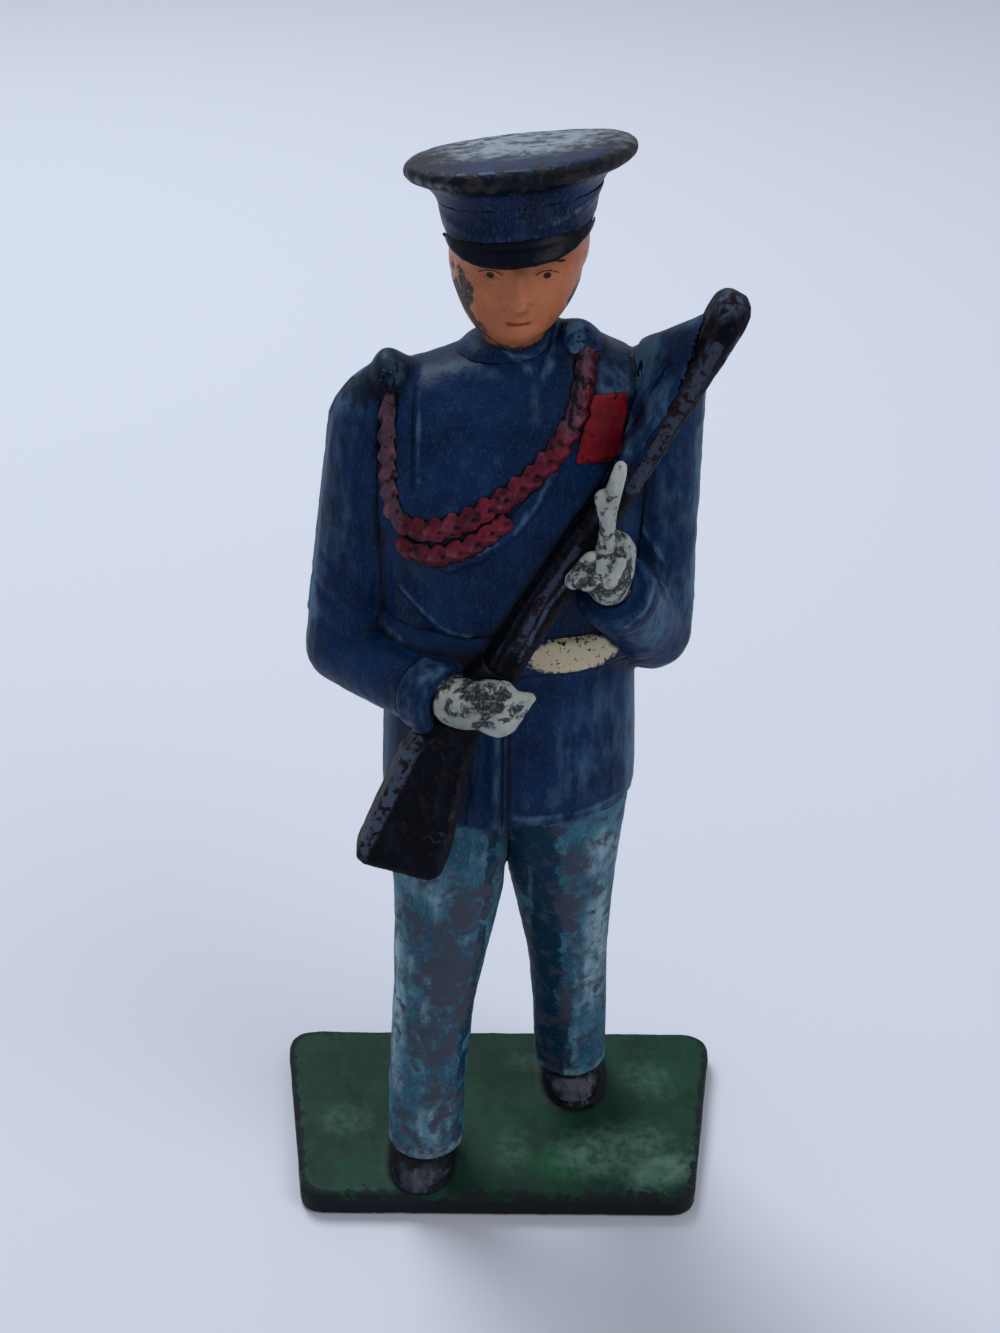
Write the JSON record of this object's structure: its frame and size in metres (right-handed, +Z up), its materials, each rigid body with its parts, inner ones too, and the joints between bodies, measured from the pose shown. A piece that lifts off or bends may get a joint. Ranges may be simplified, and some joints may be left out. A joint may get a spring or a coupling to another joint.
{
  "type": "toy soldier figure",
  "caption": "Painted metal toy soldier in a peaked cap and long tunic, striding on a flat stand with a rifle held across the chest.",
  "frame": {"origin": "centre of the stand's underside, on the surface the figure stands on", "axes": "+Z up, +X towards the figure's left-hand side, -Y in front of the figure; the stand's long side runs along X"},
  "size_m": [0.036, 0.0201, 0.0822],
  "materials": {
    "stand_paint": "worn dark green enamel",
    "shoe_paint": "worn black enamel",
    "trouser_paint": "worn mid-blue enamel",
    "tunic_paint": "worn navy enamel",
    "belt_paint": "chipped cream enamel",
    "glove_paint": "chipped white enamel",
    "face_paint": "worn flesh enamel",
    "cap_paint": "worn navy enamel, bare at the rim",
    "peak_paint": "glossy black enamel",
    "rifle_paint": "worn black-brown enamel",
    "braid_paint": "worn dark red enamel",
    "ribbon_paint": "worn red enamel"
  },
  "bodies": {
    "root": {"base_plate": "stand_paint", "right_shoe": "shoe_paint", "left_shoe": "shoe_paint", "right_trouser_leg": "trouser_paint", "left_trouser_leg": "trouser_paint", "tunic_skirt": "tunic_paint", "waist_belt": "belt_paint", "tunic_chest": "tunic_paint", "tunic_collar": "tunic_paint", "right_sleeve": "tunic_paint", "left_sleeve": "tunic_paint", "right_cuff": "tunic_paint", "left_cuff": "tunic_paint", "right_glove": "glove_paint", "left_glove": "glove_paint", "head": "face_paint", "cap_band": "cap_paint", "cap_crown": "cap_paint", "cap_peak": "peak_paint", "rifle_stock": "rifle_paint", "rifle_fore_end": "rifle_paint", "rifle_barrel": "rifle_paint", "shoulder_web": "tunic_paint", "braid_plait": "braid_paint", "braid_loop": "braid_paint", "border_cord": "tunic_paint", "right_shoulder_knot": "tunic_paint", "left_shoulder_knot": "tunic_paint", "breast_ribbon": "ribbon_paint"}
  },
  "joints": []
}
